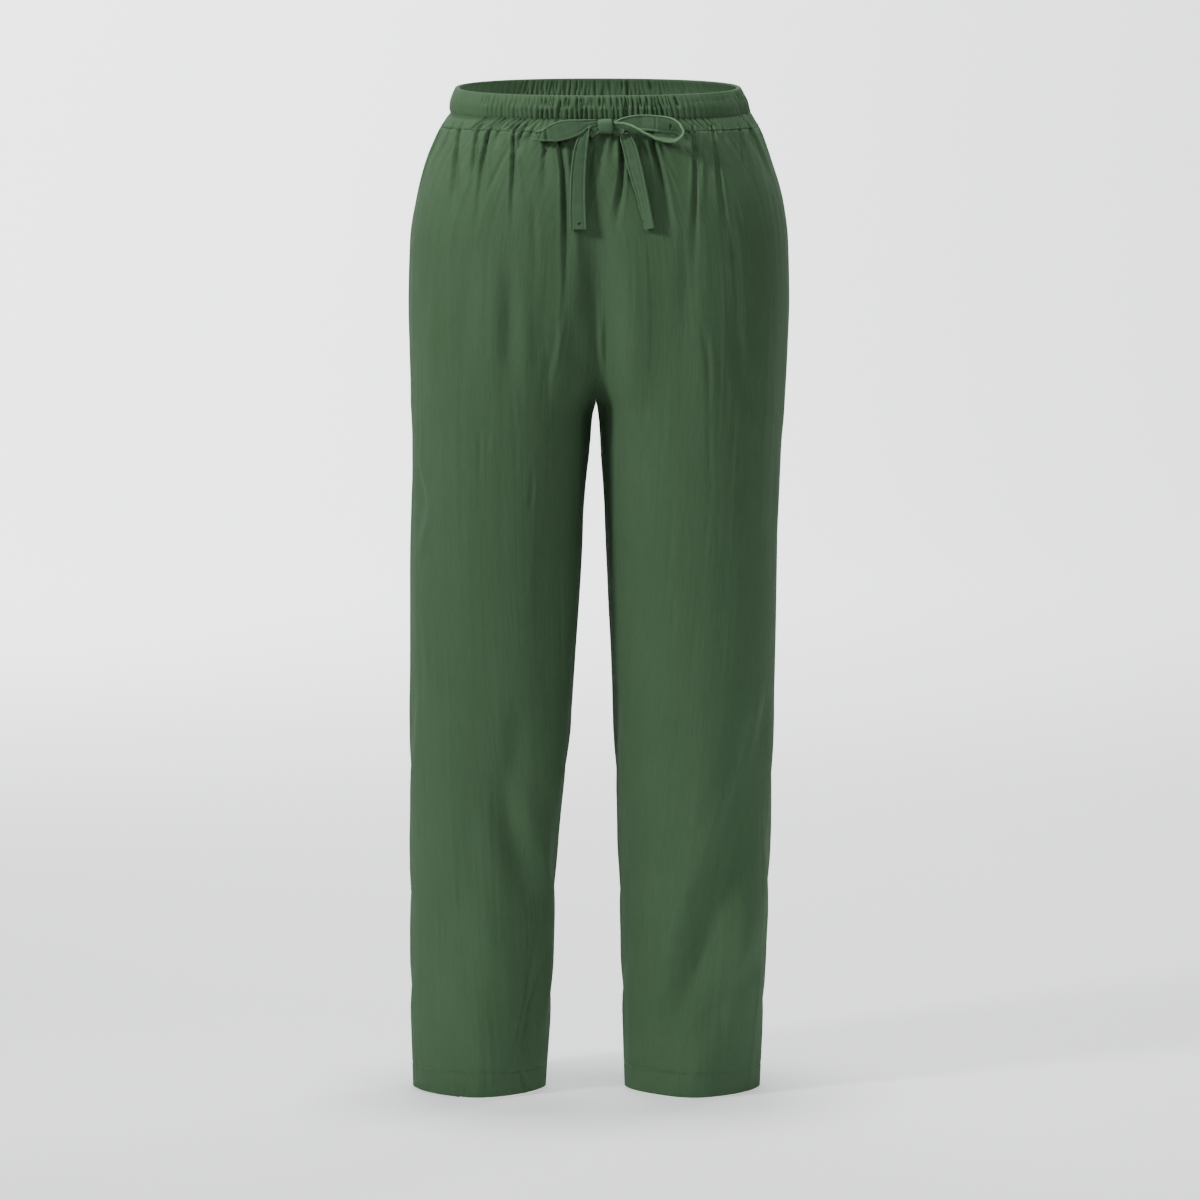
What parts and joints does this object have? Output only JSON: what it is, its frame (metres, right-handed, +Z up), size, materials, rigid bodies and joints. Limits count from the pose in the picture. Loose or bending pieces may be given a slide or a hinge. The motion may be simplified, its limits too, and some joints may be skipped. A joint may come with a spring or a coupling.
{
  "type": "linen drawstring trousers",
  "caption": "Long straight trousers in plain green linen with an elastic waistband and a flat drawstring tied in a bow, filled out as worn with the waist and hems open.",
  "frame": {"origin": "the middle of the waist opening, level with the waistband's top edge at the sides", "axes": "+Z up along the garment, the front faces -Y, the wearer's left side is +X"},
  "size_m": [0.3791, 0.2644, 1.0089],
  "materials": {
    "linen": "plain-woven linen, garment-washed, matt with a faint nap",
    "linen_tape": "the same linen folded to a flat tape, pressed smooth"
  },
  "bodies": {
    "root": {"front_panel_right": "linen", "front_panel_left": "linen", "back_panel_right": "linen", "back_panel_left": "linen", "waistband": "linen", "drawstring_knot": "linen_tape", "drawstring_loop_right": "linen_tape", "drawstring_loop_left": "linen_tape", "drawstring_tail_right": "linen_tape", "drawstring_tail_left": "linen_tape"}
  },
  "joints": []
}
